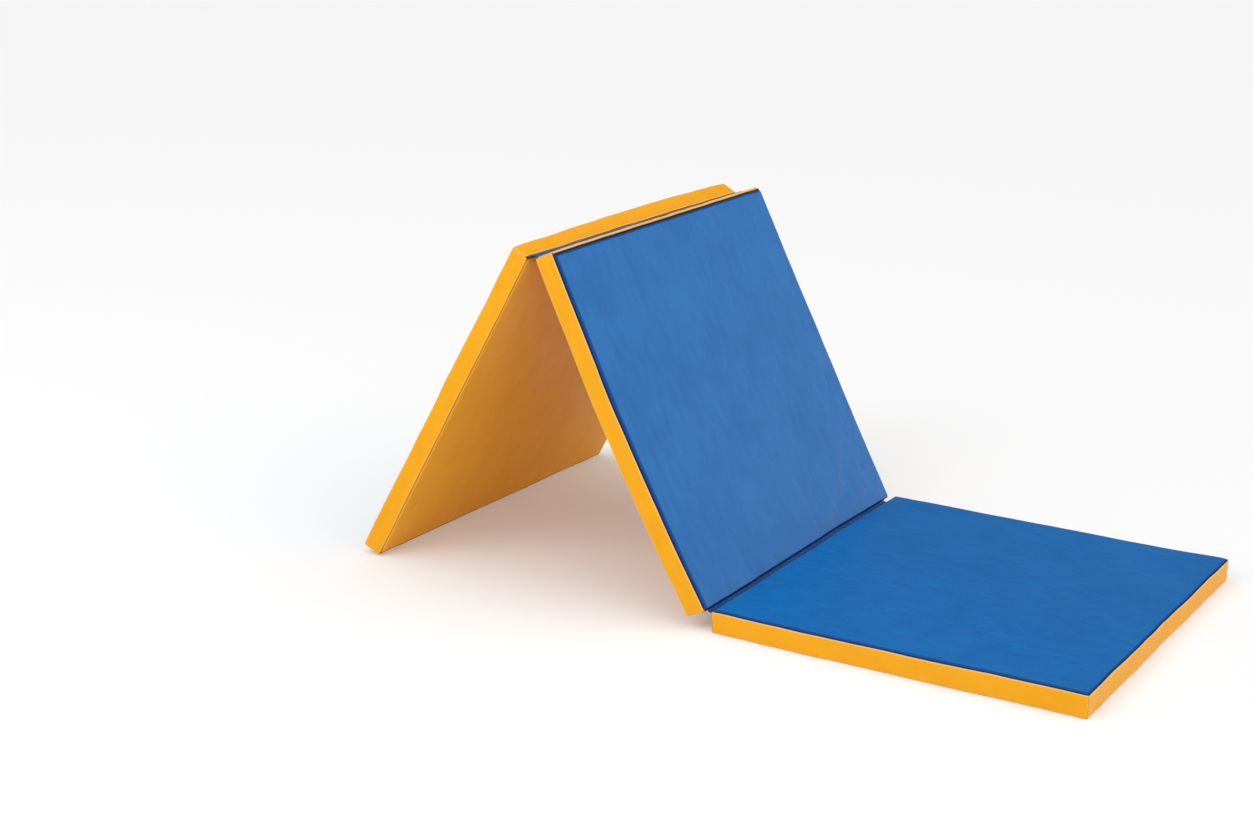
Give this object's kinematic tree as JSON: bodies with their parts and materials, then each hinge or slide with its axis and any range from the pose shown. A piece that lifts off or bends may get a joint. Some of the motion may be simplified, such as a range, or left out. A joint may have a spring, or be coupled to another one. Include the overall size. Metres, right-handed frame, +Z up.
{
  "type": "folding gym mat",
  "caption": "Zigzag-folding foam gym mat in a sewn vinyl cover, blue on top and yellow on the sides and underside, standing partly folded.",
  "frame": {"origin": "on the floor, under the middle of the standing mat", "axes": "+X along the mat towards the free end of the leaf that lies on the floor, +Y across the mat towards its far side, +Z up"},
  "size_m": [1.7176, 1, 0.7682],
  "materials": {
    "blue_vinyl": "satin",
    "yellow_vinyl": "satin",
    "foam": "matte"
  },
  "bodies": {
    "leaf_a": {"leaf_a_foam_core": "foam", "leaf_a_top_sheet": "blue_vinyl", "leaf_a_base_sheet": "yellow_vinyl", "leaf_a_near_side_band": "yellow_vinyl", "leaf_a_far_side_band": "yellow_vinyl", "leaf_a_hinge_end_band": "yellow_vinyl", "leaf_a_free_end_band": "yellow_vinyl", "hinge_strip_ab": "blue_vinyl"},
    "leaf_b": {"leaf_b_foam_core": "foam", "leaf_b_top_sheet": "blue_vinyl", "leaf_b_base_sheet": "yellow_vinyl", "leaf_b_near_side_band": "yellow_vinyl", "leaf_b_far_side_band": "yellow_vinyl", "leaf_b_upper_end_band": "yellow_vinyl", "leaf_b_lower_end_band": "yellow_vinyl", "hinge_strip_bc": "blue_vinyl"},
    "leaf_c": {"leaf_c_foam_core": "foam", "leaf_c_top_sheet": "blue_vinyl", "leaf_c_base_sheet": "yellow_vinyl", "leaf_c_near_side_band": "yellow_vinyl", "leaf_c_far_side_band": "yellow_vinyl", "leaf_c_foot_end_band": "yellow_vinyl", "leaf_c_hinge_end_band": "yellow_vinyl"}
  },
  "joints": [
    {"name": "hinge_ab", "type": "hinge", "parent": "leaf_a", "child": "leaf_b", "pos_m": [0.01777, 0, 0.052], "axis": [0, 1, 0], "range_deg": [-60.5, 119.5], "deforming": ["hinge_strip_ab"]},
    {"name": "hinge_bc", "type": "hinge", "parent": "leaf_b", "child": "leaf_c", "pos_m": [-0.43994, 0, 0.74322], "axis": [0, 1, 0], "range_deg": [-55.8, 124.2], "deforming": ["hinge_strip_bc"]}
  ]
}
